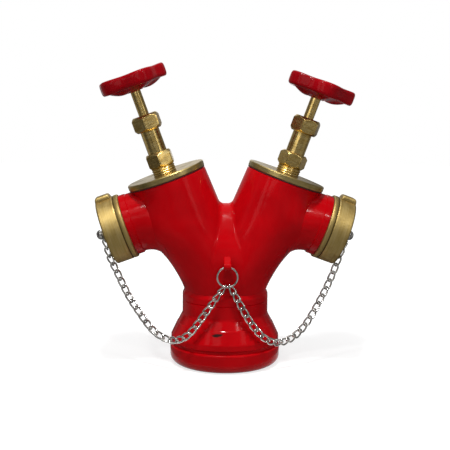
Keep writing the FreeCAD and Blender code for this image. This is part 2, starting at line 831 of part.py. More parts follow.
# Curb links threaded along a smooth route from the split ring to a flat end link on the cap's stud.
# They lie flat to the front, and turn towards both ends to clasp ring and end link.
def chain(side, route, cap_route):
    lean = math.radians(side * ring_chain_angle)
    start = ring_centre() + Vector(math.sin(lean), 0, -math.cos(lean)) * ring_radius
    end_drop = link_inner_length / 2 - stud_radius - loose_clearance
    end = cap_point(end_drop, end_link_reach - cap_end, 0, side)
    hanging = [Vector(*point) for point in route] + [cap_point(*point, side) for point in cap_route]
    line = Part.BSplineCurve()
    line.interpolate([start] + hanging + [end])
    first = link_reach - ring_wire_width / 2 - link_wire_radius - link_gap
    count = math.ceil((line.length() - first) / link_pitch)
    pitch = (line.length() - first) / count
    last = line.length() - pitch
    curb = chain_link(link_twist)
    links = []
    for i in range(count):
        distance = first + pitch * i
        where = line.parameterAtDistance(distance)
        along = line.tangent(where)[0]
        front = Vector(0, -1, 0)
        front = (front - along * front.dot(along)).normalize()
        clasp = max(0, 1 - (last - distance) / roll_fade) + max(0, 1 - (distance - first) / roll_fade)
        links.append(placed_link(curb, line.value(where), along, front, -link_twist * clasp))
    upwards = (outlet_point(0, side) - valve_point(0, side)).normalize()
    outwards = (outlet_point(1, side) - outlet_point(0, side)).normalize()
    links.append(placed_link(chain_link(0), end, upwards, outwards, 0))
    print("chain", side, "links", count + 1, "pitch", round(pitch, 2), "length", round(line.length(), 1))
    return Part.makeCompound(links)


# Every node, one file each

def build():
    nodes = {"body_casting": body_casting(), "split_ring": split_ring()}
    for name, side in SIDES.items():
        is_left = name == "left"
        lifted = Vector(0, 0, left_valve_open if is_left else 0)
        raised = left_gland_backed_off if is_left else 0
        fixed = {
            "seat_ring": seat_ring(), "bonnet_gasket": bonnet_gasket(), "bonnet_plate": bonnet_plate(),
            "stuffing_box": stuffing_box(), "gland_packing": gland_packing(raised),
            "gland_follower": gland_follower(raised), "gland_nut": gland_nut(raised),
        }
        moving = {
            "disc_washer": disc_washer(), "valve_disc": valve_disc(), "disc_nut": disc_nut(),
            "spindle": spindle(), "handwheel": handwheel(), "wheel_washer": wheel_washer(),
            "wheel_nut": wheel_nut(),
        }
        on_outlet = {"outlet_cap": outlet_cap(), "cap_gasket": cap_gasket(), "cap_stud": cap_stud()}
        for piece, shape in fixed.items():
            nodes[name + "_" + piece] = in_valve(shape, side)
        for piece, shape in moving.items():
            shape.translate(lifted)
            nodes[name + "_" + piece] = in_valve(shape, side)
        for piece, shape in on_outlet.items():
            nodes[name + "_" + piece] = in_outlet(shape, side)
        if is_left:
            nodes["left_chain"] = chain(side, left_chain_route, left_cap_route)
        else:
            nodes["right_chain"] = chain(side, right_chain_route, right_cap_route)
    return nodes


os.makedirs("parts", exist_ok=True)
for name, shape in build().items():
    shape.exportStep("parts/" + name + ".step")
    print(name, "solids", len(shape.Solids), "volume", round(shape.Volume), "valid", shape.isValid())
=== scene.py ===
import math

import bpy
import numpy as np
from mathutils import Matrix, Vector


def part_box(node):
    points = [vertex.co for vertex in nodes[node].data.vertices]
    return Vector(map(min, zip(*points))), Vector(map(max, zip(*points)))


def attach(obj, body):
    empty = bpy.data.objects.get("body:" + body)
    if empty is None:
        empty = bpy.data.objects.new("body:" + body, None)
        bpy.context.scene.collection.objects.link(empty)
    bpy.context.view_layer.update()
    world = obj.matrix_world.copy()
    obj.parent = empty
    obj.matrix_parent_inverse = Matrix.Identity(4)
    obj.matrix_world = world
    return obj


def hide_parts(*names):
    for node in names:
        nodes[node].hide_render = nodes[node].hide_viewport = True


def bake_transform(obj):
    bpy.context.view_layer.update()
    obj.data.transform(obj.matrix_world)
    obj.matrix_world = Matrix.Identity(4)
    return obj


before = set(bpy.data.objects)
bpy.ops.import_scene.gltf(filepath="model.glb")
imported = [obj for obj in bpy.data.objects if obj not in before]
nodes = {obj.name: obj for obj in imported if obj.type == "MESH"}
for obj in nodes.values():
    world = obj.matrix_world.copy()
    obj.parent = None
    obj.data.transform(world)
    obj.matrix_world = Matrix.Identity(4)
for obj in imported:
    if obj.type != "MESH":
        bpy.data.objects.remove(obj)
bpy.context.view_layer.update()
sides = {"left": -1, "right": 1}
mm = 0.001
print("frame loaded, nodes:", len(nodes))

# The two leaning valve axes cross under the waist; each outlet is square to its valve.
layout = {
    "lean": math.radians(20),       # valve axis from upright
    "axisFoot": 31 * mm,            # height where both axes meet
    "outletStation": 178.4 * mm,    # where the outlet leaves the valve axis
}
alongValve = (math.sin(layout["lean"]), 0, math.cos(layout["lean"]))
alongOutlet = (math.cos(layout["lean"]), 0, -math.sin(layout["lean"]))


# Small tools

def hexLinear(code):  # sRGB hex to linear RGBA
    channels = [int(code[i:i + 2], 16) / 255 for i in (1, 3, 5)]
    linear = [c / 12.92 if c <= 0.04045 else ((c + 0.055) / 1.055) ** 2.4 for c in channels]
    return (*linear, 1)


# Adds one node, whose sockets take links or numbers, and gives back one output, or all of them for None.
def addNode(tree, kind, inputs, settings=None, out=0):
    node = tree.nodes.new("ShaderNode" + kind)
    for name, value in (settings or {}).items():
        setattr(node, name, value)
    for socket, value in inputs.items():
        if isinstance(value, bpy.types.NodeSocket):
            tree.links.new(value, node.inputs[socket])
        else:
            node.inputs[socket].default_value = value
    return node.outputs if out is None or not node.outputs else node.outputs[out]


def newMaterial(name):
    material = bpy.data.materials.new(name)
    material.use_nodes = True
    tree = material.node_tree
    tree.nodes.clear()
    return material, tree, addNode(tree, "TexCoord", {}, out="Object")


smooth = {"interpolation_type": "SMOOTHSTEP"}
colours = {"data_type": "RGBA"}    # a Mix of colours has its share at 0, the two at 6 and 7, the outcome at 2
times, plus, less, most, timesPlus, length = ({"operation": word} for word in (
    "MULTIPLY", "ADD", "SUBTRACT", "MAXIMUM", "MULTIPLY_ADD", "LENGTH"))
noiseMiddle = {"From Min": 0.3, "From Max": 0.7}    # where most of a noise's values lie


# Distances from a turned piece's own axis: radius, station and angle, the same on both sides of the middle
# plane.
def latheCoords(tree, place, axis, station):
    across = alongOutlet if axis is alongValve else alongValve
    x, y, z = addNode(tree, "SeparateXYZ", {0: place}, out=None)
    fromMiddle = addNode(tree, "Math", {0: x}, {"operation": "ABSOLUTE"})
    height = addNode(tree, "Math", {0: z, 1: layout["axisFoot"]}, less)
    folded = addNode(tree, "CombineXYZ", {0: fromMiddle, 1: y, 2: height})
    dot = {"operation": "DOT_PRODUCT"}
    along = addNode(tree, "VectorMath", {0: folded, 1: axis}, dot, "Value")
    aside = addNode(tree, "VectorMath", {0: folded, 1: across}, dot, "Value")
    sideways = addNode(tree, "Math", {0: aside, 1: station}, less)
    spread = addNode(tree, "CombineXYZ", {0: sideways, 1: y})
    radius = addNode(tree, "VectorMath", {0: spread}, length, "Value")
    angle = addNode(tree, "Math", {0: y, 1: sideways}, {"operation": "ARCTAN2"})
    return radius, along, angle


# Materials

enamelLook = {
    # the wheel's red is the casting's red made darker: painted shade for the upright rim, which the lamps
    # light less
    "casting": {"colour": "#B2040C", "deep": "#A4030A"}, "wheel": {"colour": "#93050F", "deep": "#80040C"},
    "grains": ((45, 2), (8, 2), (2.4, 1), (1.6, 3)),    # patches, lumps, peel, rag: mm across, noise detail
    "patchEdge": {"From Min": 0.35, "From Max": 0.65},
    "chip": "#2A1210", "chipAt": (-0.0128, -0.0640, 0.0482), "chipSizeMm": (8.8, 9.0, 2.3), "chipDeg": 9,
    "chipRag": 0.9, "chipEdge": {"From Min": 1.15, "From Max": 1.35, "To Min": 1.0, "To Max": 0.0},
    "iron": "#8B8A86", "threadPitchMm": 4.5,
    "ironFrom": {"From Min": 65.7 * mm, "From Max": 65.8 * mm},    # out along the outlet
    "ironWithin": {"From Min": 37.3 * mm, "From Max": 37.4 * mm, "To Min": 1.0, "To Max": 0.0},
    "roughness": {**noiseMiddle, "To Min": 0.08, "To Max": 0.17}, "chipDull": 0.45,
    "specular": {"IOR": 1.4, "Specular IOR Level": 0.11},
    # lumps, peel, chip and thread: strength, depth in mm, whether sunk
    "bumps": ((0.30, 0.30, False), (0.10, 0.10, False), (0.8, 0.4, True), (1.0, 1.8, False)),
}


# Stove enamel sprayed over a sand casting: an even deep red, wet gloss over soft lumps, one dark chip on the
# bell.
def stoveEnamel(name, coat):
    look = enamelLook
    material, tree, place = newMaterial(name)
    patches, lumps, peel, rag = (addNode(tree, "TexNoise", {
        "Vector": place, "Scale": 1 / (size * mm), "Detail": detail}) for size, detail in look["grains"])
    drift = addNode(tree, "MapRange", {"Value": patches, **look["patchEdge"]}, smooth)
    tone = addNode(tree, "Mix", {
        0: drift, 6: hexLinear(coat["deep"]), 7: hexLinear(coat["colour"])}, colours, 2)
    # the chip: a ragged flat ellipse round one point, its left end lower
    fromChip = addNode(tree, "VectorMath", {0: place, 1: look["chipAt"]}, less)
    leaned = addNode(tree, "VectorRotate", {
        "Vector": fromChip, "Angle": math.radians(look["chipDeg"])}, {"rotation_type": "Y_AXIS"})
    shrink = tuple(1 / (size * mm) for size in look["chipSizeMm"])
    scaled = addNode(tree, "VectorMath", {0: leaned, 1: shrink}, times)
    reach = addNode(tree, "VectorMath", {0: scaled}, length, "Value")
    ragged = addNode(tree, "Math", {0: rag, 1: look["chipRag"], 2: reach}, timesPlus)
    chipped = addNode(tree, "MapRange", {"Value": ragged, **look["chipEdge"]}, smooth)
    tone = addNode(tree, "Mix", {0: chipped, 6: tone, 7: hexLinear(look["chip"])}, colours, 2)
    # bare machined iron on the hose threads under the caps
    radius, reachOut, angle = latheCoords(tree, place, alongOutlet, layout["outletStation"])
    beyond = addNode(tree, "MapRange", {"Value": reachOut, **look["ironFrom"]})
    within = addNode(tree, "MapRange", {"Value": radius, **look["ironWithin"]})
    onThread = addNode(tree, "Math", {0: beyond, 1: within}, times)
    pitches = addNode(tree, "Math", {0: reachOut, 1: 1 / (look["threadPitchMm"] * mm)}, times)
    turns = addNode(tree, "Math", {0: angle, 1: 0.5 / math.pi, 2: pitches}, timesPlus)
    zigzag = addNode(tree, "Math", {0: turns, 1: 0.5}, {"operation": "PINGPONG"})
    ridge = addNode(tree, "Math", {0: zigzag, 1: onThread}, times)
    tone = addNode(tree, "Mix", {0: onThread, 6: tone, 7: hexLinear(look["iron"])}, colours, 2)
    sheen = addNode(tree, "MapRange", {"Value": lumps, **look["roughness"]})
    gloss = addNode(tree, "Math", {0: chipped, 1: look["chipDull"], 2: sheen}, timesPlus)
    surface = {}
    for (strength, depth, sunk), height in zip(look["bumps"], (lumps, peel, chipped, ridge)):
        surface = {"Normal": addNode(tree, "Bump", {
            "Strength": strength, "Distance": depth * mm, "Height": height, **surface}, {"invert": sunk})}
    shader = addNode(tree, "BsdfPrincipled", {
        "Base Color": tone, "Roughness": gloss, "Metallic": onThread, **surface, **look["specular"]})
    addNode(tree, "OutputMaterial", {"Surface": shader})
    return material


brassLook = {
    "valve": {"colour": "#C9A65A", "pale": "#D9C080", "tarnish": "#705626", "roughness": 0.22, "stain": 0.45},
    "plate": {"colour": "#AC9454", "pale": "#BDA972", "tarnish": "#6C6032", "roughness": 0.30, "stain": 0.60},
    "cap": {"colour": "#AB9154", "pale": "#B9A26A", "tarnish": "#746034", "roughness": 0.50, "stain": 0.50,
            "grooveMm": (71.7, 73.3), "grooveGrimeAndShade": "#3A2A10"},
    "markMm": 1.3,    # marks are drawn coarser than real so that they show
    "patchMm": 16, "waveMm": 8, "grooveGrimeAndShadeCover": 0.8,
    "stainEdge": {"From Min": 0.45, "From Max": 0.75}, "stainDull": 0.2,
    "wear": (-0.03, 0.04),    # change of roughness from mark to mark
    "waveBump": {"Strength": 0.5, "Distance": 0.35 * mm},
    "markBump": {"Strength": 0.02, "Distance": 0.05 * mm},
}


# Turned yellow brass: lathe marks round the axis, a warm satin gloss over a slightly uneven polish, browner
# where it has tarnished.
def turnedBrass(name, axis, station, look):
    material, tree, place = newMaterial(name)
    radius, along, angle = latheCoords(tree, place, axis, station)
    markScale = 1 / (brassLook["markMm"] * mm)
    around = addNode(tree, "CombineXYZ", {0: radius, 1: along})
    fine = addNode(tree, "VectorMath", {0: around, "Scale": markScale}, {"operation": "SCALE"})
    slow = addNode(tree, "CombineXYZ", {2: angle})
    spiral = addNode(tree, "VectorMath", {0: fine, 1: slow}, plus)
    marks = addNode(tree, "TexNoise", {"Vector": spiral, "Scale": 1.0, "Detail": 2, "Roughness": 0.5})
    patches = addNode(tree, "TexNoise", {
        "Vector": place, "Scale": 1 / (brassLook["patchMm"] * mm), "Detail": 3, "Roughness": 0.55})
    wave = addNode(tree, "TexNoise", {"Vector": place, "Scale": 1 / (brassLook["waveMm"] * mm), "Detail": 1})
    rings = addNode(tree, "MapRange", {"Value": marks, **noiseMiddle}, smooth)
    tone = addNode(tree, "Mix", {
        0: rings, 6: hexLinear(look["colour"]), 7: hexLinear(look["pale"])}, colours, 2)
    stain = addNode(tree, "MapRange", {
        "Value": patches, **brassLook["stainEdge"], "To Max": look["stain"]}, smooth)
    tone = addNode(tree, "Mix", {0: stain, 6: tone, 7: hexLinear(look["tarnish"])}, colours, 2)
    # the groove is drawn near black: grime, and also painted shade for the dark line that the groove casts
    if "grooveMm" in look:   # grime left in the turned groove
        low, high = look["grooveMm"]
        middle, half = (low + high) / 2 * mm, (high - low) / 2 * mm
        inGroove = addNode(tree, "Math", {0: along, 1: middle, 2: half}, {"operation": "COMPARE"})
        grimeAndShadeInGroove = addNode(tree, "Math", {0: inGroove, 1: brassLook["grooveGrimeAndShadeCover"]}, times)
        tone = addNode(tree, "Mix", {0: grimeAndShadeInGroove, 6: tone, 7: hexLinear(look["grooveGrimeAndShade"])}, colours, 2)
    bright, dull = (look["roughness"] + change for change in brassLook["wear"])
    worn = addNode(tree, "MapRange", {"Value": marks, **noiseMiddle, "To Min": bright, "To Max": dull})
    gloss = addNode(tree, "Math", {0: stain, 1: brassLook["stainDull"], 2: worn}, timesPlus)
    surface = addNode(tree, "Bump", {**brassLook["waveBump"], "Height": wave})
    surface = addNode(tree, "Bump", {**brassLook["markBump"], "Height": marks, "Normal": surface})
    shader = addNode(tree, "BsdfPrincipled", {
        "Base Color": tone, "Metallic": 1.0, "Roughness": gloss, "Normal": surface})
    addNode(tree, "OutputMaterial", {"Surface": shader})
    return material


steelLook = {
    "colour": "#DCDAD4", "dull": "#9A9690", "grainMm": 1.3, "patchMm": 6,
    "dullEdge": {"From Min": 0.45, "From Max": 0.7},
    "roughness": {**noiseMiddle, "To Min": 0.07, "To Max": 0.15},
    "bump": {"Strength": 0.1, "Distance": 0.04 * mm},
}


# Bright zinc plating on drawn steel wire: near white glints beside dark edges, grey and duller in patches.
def platedSteel():
    look = steelLook
    material, tree, place = newMaterial("brightPlatedSteel")
    grain = addNode(tree, "TexNoise", {"Vector": place, "Scale": 1 / (look["grainMm"] * mm), "Detail": 3})
    patches = addNode(tree, "TexNoise", {"Vector": place, "Scale": 1 / (look["patchMm"] * mm), "Detail": 2})
    dulled = addNode(tree, "MapRange", {"Value": patches, **look["dullEdge"]}, smooth)
    tone = addNode(tree, "Mix", {
        0: dulled, 6: hexLinear(look["colour"]), 7: hexLinear(look["dull"])}, colours, 2)
    gloss = addNode(tree, "MapRange", {"Value": grain, **look["roughness"]})
    surface = addNode(tree, "Bump", {**look["bump"], "Height": grain})
    shader = addNode(tree, "BsdfPrincipled", {
        "Base Color": tone, "Metallic": 1.0, "Roughness": gloss, "Normal": surface})
    addNode(tree, "OutputMaterial", {"Surface": shader})
    return material


softLook = {
    "seal": {"dark": "#0E0E0E", "light": "#242424", "grainMm": 1.5},
    "fibre": {"dark": "#2C0A08", "light": "#47130F", "grainMm": 1.0},
    "graphite": {"dark": "#121213", "light": "#3A3A3C", "grainMm": 0.9},
    "roughness": {**noiseMiddle, "To Min": 0.55, "To Max": 0.75},
    "bump": {"Strength": 0.3, "Distance": 0.1 * mm},
}


# Moulded rubber, pressed fibre and graphited yarn: matt, faintly mottled.
def mattSeal(name, look):
    material, tree, place = newMaterial(name)
    grain = addNode(tree, "TexNoise", {"Vector": place, "Scale": 1 / (look["grainMm"] * mm), "Detail": 3})
    tone = addNode(tree, "Mix", {
        0: grain, 6: hexLinear(look["dark"]), 7: hexLinear(look["light"])}, colours, 2)
    gloss = addNode(tree, "MapRange", {"Value": grain, **softLook["roughness"]})
    surface = addNode(tree, "Bump", {**softLook["bump"], "Height": grain})
    shader = addNode(tree, "BsdfPrincipled", {"Base Color": tone, "Roughness": gloss, "Normal": surface})
    addNode(tree, "OutputMaterial", {"Surface": shader})
    return material


castingEnamel = stoveEnamel("stoveEnamelOnCasting", enamelLook["casting"])
# a darker copy of the casting enamel, which paints the wheel's shade into its colour
shadedWheelEnamel = stoveEnamel("stoveEnamelShadedForWheel", enamelLook["wheel"])
valveBrass = turnedBrass("turnedBrassValve", alongValve, 0.0, brassLook["valve"])
plateBrass = turnedBrass("facedBrassPlate", alongValve, 0.0, brassLook["plate"])
capBrass = turnedBrass("turnedBrassCap", alongOutlet, layout["outletStation"], brassLook["cap"])
steel = platedSteel()
rubber = mattSeal("mouldedRubber", softLook["seal"])
fibre = mattSeal("pressedFibreGasket", softLook["fibre"])
graphite = mattSeal("graphitedPacking", softLook["graphite"])
print("materials made")

finishes = {
    "body_casting": castingEnamel, "handwheel": shadedWheelEnamel, "bonnet_plate": plateBrass,
    "stuffing_box": valveBrass, "gland_nut": valveBrass, "gland_follower": valveBrass,
    "spindle": valveBrass, "seat_ring": valveBrass, "valve_disc": valveBrass, "disc_nut": valveBrass,
    "outlet_cap": capBrass, "cap_stud": steel, "wheel_washer": steel, "wheel_nut": steel,
    "chain": steel, "split_ring": steel, "bonnet_gasket": fibre, "disc_washer": rubber,
    "cap_gasket": rubber, "gland_packing": graphite,
}
for name, node in nodes.items():
    kind = name.split("_", 1)[1] if name.split("_")[0] in sides else name
    node.data.materials.clear()
    node.data.materials.append(finishes[kind])


# New pieces

def fullTurn(steps):
    return np.linspace(0, 2 * math.pi, steps, endpoint=False)


def easedStep(share):  # 0 to 1, level at both ends
    return share * share * (3 - 2 * share)


def squarer(wave, power):  # a cosine or sine filled out towards a square
    return np.sign(wave) * np.abs(wave) ** power


def gridQuads(rows, columns, closedU, closedV):
    u, v = np.indices((rows if closedU else rows - 1, columns if closedV else columns - 1))
    nextU, nextV = (u + 1) % rows, (v + 1) % columns
    corners = (u * columns + v, nextU * columns + v, nextU * columns + nextV, u * columns + nextV)
    return np.stack(corners, -1).reshape(-1, 4)


# edges bent by more than crease degrees stay sharp
def faceMesh(name, vertices, faces, material, crease=None):
    mesh = bpy.data.meshes.new(name)
    mesh.from_pydata(vertices.tolist(), [], faces)
    mesh.polygons.foreach_set("use_smooth", np.ones(len(mesh.polygons), dtype=bool))
    if crease:
        mesh.set_sharp_from_angle(angle=math.radians(crease))
    mesh.materials.append(material)
    piece = bpy.data.objects.new(name, mesh)
    bpy.context.scene.collection.objects.link(piece)
    return piece


# points is rows x columns x 3; rows and columns may close, or flat ends may close the first and last row
def gridMesh(name, points, closedU, closedV, material, crease=None, flatEnds=False):
    rows, columns = points.shape[:2]
    faces = gridQuads(rows, columns, closedU, closedV).tolist()
    if flatEnds:
        faces += [list(range(columns)), list(range(rows * columns - 1, (rows - 1) * columns - 1, -1))]
    return faceMesh(name, points.reshape(-1, 3), faces, material, crease)


linkShape = {
    "wireMm": 1.2, "straightMm": 3.4, "bendMm": 3.5,   # wire's radius; half straight and bend of its line
    "twistDeg": 45, "fadeMm": 45,                      # end twist, run over which the end links roll
    "roundSteps": 12, "lineSteps": 36,
    "bowHub": (70, 140),                               # x and z in mm of a point inside the hanging bow
    "sameSpot": 7,                                     # decimals of a metre to which joined corners agree
}


# One link along X: the wire line is a stadium, measured round by arc length; every point is then
# turned about X by an angle that grows with x, and a circle of wire is carried round that line.
def wireLink(twistDeg):
    shape = linkShape
    half, bend = shape["straightMm"], shape["bendMm"]
    lengths = np.array([2 * half, math.pi * bend, 2 * half, math.pi * bend])
    ends = np.cumsum(lengths)
    run = np.linspace(0, ends[-1], shape["lineSteps"], endpoint=False)
    stretch = np.searchsorted(ends, run, side="right")
    rest = run - np.concatenate([[0], ends])[stretch]
    facing = np.choose(stretch, [-90 + 0 * rest, -90 + np.degrees(rest / bend),
                                 90 + 0 * rest, 90 + np.degrees(rest / bend)])
    outward = np.stack([np.cos(np.radians(facing)), np.sin(np.radians(facing)), 0 * run], -1)
    centre = np.choose(stretch, [rest - half, half + 0 * rest, half - rest, -half + 0 * rest])
    line = outward * bend
    line[:, 0] += centre
    turn = fullTurn(shape["roundSteps"])
    skin = (line[:, None] + shape["wireMm"] * (outward[:, None] * np.cos(turn)[None, :, None]
            + np.array([0, 0, 1]) * np.sin(turn)[None, :, None]))
    twist = np.radians(twistDeg) * line[:, 0] / (half + bend)
    cosine, sine = np.cos(twist)[:, None], np.sin(twist)[:, None]
    y, z = skin[..., 1] * cosine - skin[..., 2] * sine, skin[..., 1] * sine + skin[..., 2] * cosine
    return np.stack([skin[..., 0], y, z], -1) * mm


# The corners of each link in the frame. Corners at one spot are one, and those joined by edges take the
# lowest number among them, which parts link from link.
def frameLinks(side):
    mesh = nodes["left_chain" if side < 0 else "right_chain"].data
    corners, edges = np.empty(len(mesh.vertices) * 3), np.empty(len(mesh.edges) * 2, dtype=int)
    mesh.vertices.foreach_get("co", corners)
    mesh.edges.foreach_get("vertices", edges)
    corners = corners.reshape(-1, 3)
    spots, joined = np.unique(np.round(corners, linkShape["sameSpot"]), axis=0, return_inverse=True)
    joined = joined.ravel()
    edges = joined[edges.reshape(-1, 2)]
    owner, before = np.arange(len(spots)), None
    while before is None or (owner != before).any():
        before = owner.copy()
        lowest = owner[edges].min(1)
        np.minimum.at(owner, edges[:, 0], lowest)
        np.minimum.at(owner, edges[:, 1], lowest)
    return [corners[owner[joined] == first] for first in np.unique(owner)]


# Where the frame's links lie. A link's middle is the mean of its corners, and it runs the way they spread
# most. Links are put in order by their turn round a point over the hanging bow, from the ring to the cap.
def linkPlaces(side):
    links = frameLinks(side)
    middles = np.array([link.mean(0) for link in links])
    spread = np.array([np.linalg.svd(link - link.mean(0), full_matrices=False)[2][0] for link in links])
    hub = np.array(linkShape["bowHub"]) * mm
    order = np.argsort(np.arctan2(middles[:, 2] - hub[1], side * middles[:, 0] - hub[0]))
    middles, spread = middles[order], spread[order]
    onward = np.gradient(middles, axis=0)
    return middles, spread * np.sign((spread * onward).sum(1))[:, None]


# A run of links: each curb link is set on its middle, facing the front, and rolled where it clasps ring or
# end link; the last link is flat and lies round the cap's stud, square to the outlet.
def chainRun(name, side, keep):
    middles, along = linkPlaces(side)
    spot = np.arange(len(middles))
    lastCurb = len(middles) - 2
    fade = linkShape["fadeMm"] * mm / np.linalg.norm(np.diff(middles, axis=0), axis=1).mean()
    clasp = np.clip(1 - (lastCurb - spot) / fade, 0, 1) + np.clip(1 - spot / fade, 0, 1)
    roll = np.radians(-linkShape["twistDeg"]) * clasp
    front = np.array([0, -1, 0]) + along * along[:, 1:2]
    front /= np.linalg.norm(front, axis=1)[:, None]
    along[-1] = (side * alongValve[0], 0, alongValve[2])
    front[-1] = (side * alongOutlet[0], 0, alongOutlet[2])
    roll[-1] = 0
    across = np.cross(front, along)
    cosine, sine = np.cos(roll)[:, None], np.sin(roll)[:, None]
    across, front = across * cosine + front * sine, front * cosine - across * sine
    curb, flat = wireLink(linkShape["twistDeg"]), wireLink(0)
    rows, columns = curb.shape[:2]
    models = np.where((spot > lastCurb)[:, None, None], flat.reshape(1, -1, 3), curb.reshape(1, -1, 3))
    points = (middles[:, None] + models[..., :1] * along[:, None] + models[..., 1:2] * across[:, None]
              + models[..., 2:] * front[:, None])
    chosen = spot[keep]
    shift = np.arange(len(chosen)) * rows * columns
    quads = (gridQuads(rows, columns, True, True)[None] + shift[:, None, None]).reshape(-1, 4)
    return faceMesh(name, points[chosen].reshape(-1, 3), quads.tolist(), steel), middles


# the chain is drawn as two runs: the first links, by the ring, and the rest, out to the cap
chainCut = {"innerLinks": 9, "capLinks": 8}
for sideName, side in sides.items():
    inner, middles = chainRun(sideName + "ChainInner", side, slice(0, chainCut["innerLinks"]))
    outer, middles = chainRun(sideName + "ChainOuter", side, slice(chainCut["innerLinks"], None))
    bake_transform(inner)
    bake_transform(outer)
    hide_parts(sideName + "_chain")
print("chains laid")


ringShape = {
    "radiusMm": 12.4, "wireWideMm": 2.2, "wireDeepMm": 1.42, "gapMm": 1.5, "jogDeg": 40,
    "endDeg": 8, "power": 0.7, "steps": 220, "sectionSteps": 14, "crease": 60,
}


# Split ring: a flat wire wound twice; each turn lies in its own plane and steps over in a short jog. The
# wire's section is a superellipse.
def splitRing():
    shape = ringShape
    low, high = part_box("split_ring")
    centre = np.array((low + high) / 2)
    end = math.radians(shape["endDeg"])
    turn = np.linspace(end, 4 * math.pi - end, shape["steps"])
    step = np.clip((turn - 2 * math.pi) / math.radians(shape["jogDeg"]) + 0.5, 0, 1)
    depth = shape["gapMm"] * (easedStep(step) - 0.5)
    outward = np.stack([np.sin(turn), 0 * turn, np.cos(turn)], -1)
    section = fullTurn(shape["sectionSteps"])
    wide = squarer(np.cos(section), shape["power"]) * shape["wireWideMm"] / 2
    deep = squarer(np.sin(section), shape["power"]) * shape["wireDeepMm"] / 2
    points = (outward[:, None] * (shape["radiusMm"] + wide[None, :, None])
              + np.array([0, 1, 0]) * (depth[:, None, None] + deep[None, :, None]))
    return gridMesh("splitRingCoil", points * mm + centre, False, True, steel, shape["crease"], True)


coil = splitRing()
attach(coil, "ring_unit")
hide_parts("split_ring")
print("ring wound")


# Direction, direction at turn 0 and start of each axis that pieces are turned about.
def valveAxis(side):
    along = np.array((side * alongValve[0], 0, alongValve[2]))
    across = np.array((alongOutlet[0], 0, side * alongOutlet[2]))
    return along, across, np.array((0, 0, layout["axisFoot"]))


def outletAxis(side):
    upward, foot = valveAxis(side)[::2]
    along = np.array((side * alongOutlet[0], 0, alongOutlet[2]))
    return along, upward, foot + upward * layout["outletStation"]


# Sets a turning of (turn, profile) radius and station arrays, in millimetres, onto an axis; both ways close.
def turnedMesh(name, turn, radius, station, axis, material, crease):
    along, across, start = axis
    sideways = np.cross(along, across)
    points = ((radius * np.cos(turn))[..., None] * across + (radius * np.sin(turn))[..., None] * sideways
              + (station + 0 * turn)[..., None] * along)
    return gridMesh(name, points * mm + start, True, True, material, crease)


def hexRadius(turn, flats, cornerDeg):  # distance to a hexagon's side, with one corner at cornerDeg
    fromFlat = (turn - math.radians(cornerDeg)) % (math.pi / 3) - math.pi / 6
    return flats / 2 / np.cos(fromFlat)


# Hexagon with turned crowns: near both ends the radius is held by a cone, which leaves an arc on every flat.
def hexagonBar(turn, shape, low, high, cornerDeg):
    share = np.linspace(0, 1, shape["crownSteps"])
    heights = np.concatenate([low + shape["crownMm"] * share, high - shape["crownMm"] * share[::-1]])[None]
    corner = shape["flatsMm"] / math.sqrt(3)
    narrow = shape["flatsMm"] / 2 - shape["crownInsetMm"]
    limit = narrow + (corner - narrow) * share
    limit = np.concatenate([limit, limit[::-1]])[None]
    return heights, np.minimum(hexRadius(turn, shape["flatsMm"], cornerDeg), limit)


boxShape = {    # radii, and stations in mm up the valve axis
    "spigotMm": 13.0, "boreMm": 8.05, "packingBoreMm": 9.8, "sleeveMm": 12.0, "neckMm": 14.25,
    "flatsMm": 31.2,
    "bottom": 209.8, "spigotTop": 224.9, "plateTop": 225.0, "hexBottom": 234.0, "hexTop": 252.5,
    "packing": 262.0, "top": 290.0,
    "ridgeMm": 0.75, "ridgeEndMm": 0.8, "pitchMm": 2.9, "crownMm": 3.4, "crownInsetMm": 1.0, "eased": 0.6,
    "cornerDeg": {"left": 27, "right": 0}, "roundSteps": 120, "neckSteps": 37, "crownSteps": 9, "crease": 28,
}


# Stuffing box: stations run up the outside and down the bore. The screwed neck's radius is its root plus a
# cosine of height less the share of a turn, sunk at both ends; the hexagon is the lesser of its flats and a
# cone at each end; the rest is plain turning.
def stuffingBox(sideName, side):
    shape = boxShape
    turn = fullTurn(shape["roundSteps"])[:, None]
    neck = np.linspace(shape["plateTop"], shape["hexBottom"], shape["neckSteps"])[None]
    fromEnd = np.minimum(neck - shape["plateTop"], shape["hexBottom"] - neck)
    wave = 0.5 + 0.5 * np.cos(2 * math.pi * neck / shape["pitchMm"] - turn)
    ridges = shape["neckMm"] + shape["ridgeMm"] * np.clip(fromEnd / shape["ridgeEndMm"], 0, 1) * wave
    hexHeights, hexWidths = hexagonBar(turn, shape, shape["hexBottom"], shape["hexTop"],
                                       shape["cornerDeg"][sideName])
    eased, sleeve = shape["eased"], shape["sleeveMm"]
    below = np.array([[shape["bottom"], shape["spigotTop"]]])
    above = np.array([[shape["hexTop"], shape["top"] - eased, shape["top"], shape["top"], shape["packing"],
                       shape["packing"], shape["bottom"]]])
    aboveWide = np.array([[sleeve, sleeve, sleeve - eased, shape["packingBoreMm"], shape["packingBoreMm"],
                           shape["boreMm"], shape["boreMm"]]])
    belowWide = shape["spigotMm"] + 0 * below
    radius = np.concatenate([belowWide + 0 * turn, ridges, hexWidths, aboveWide + 0 * turn], 1)
    station = np.concatenate([below, neck, hexHeights, above], 1) + 0 * turn
    return turnedMesh(sideName + "StuffingBox", turn, radius, station, valveAxis(side), valveBrass,
                      shape["crease"])


nutShape = {    # radii, and stations in mm up the valve axis
    "flatsMm": 32.4, "boreMm": 12.03, "holeMm": 6.55, "bottom": 279.0, "web": 294.0, "top": 299.0,
    "crownMm": 4.0, "crownInsetMm": 1.3, "crownSteps": 9, "roundSteps": 120, "crease": 28,
    "cornerDeg": {"left": 21, "right": 12}, "backedOffMm": {"left": 2.5, "right": 0.0},
}


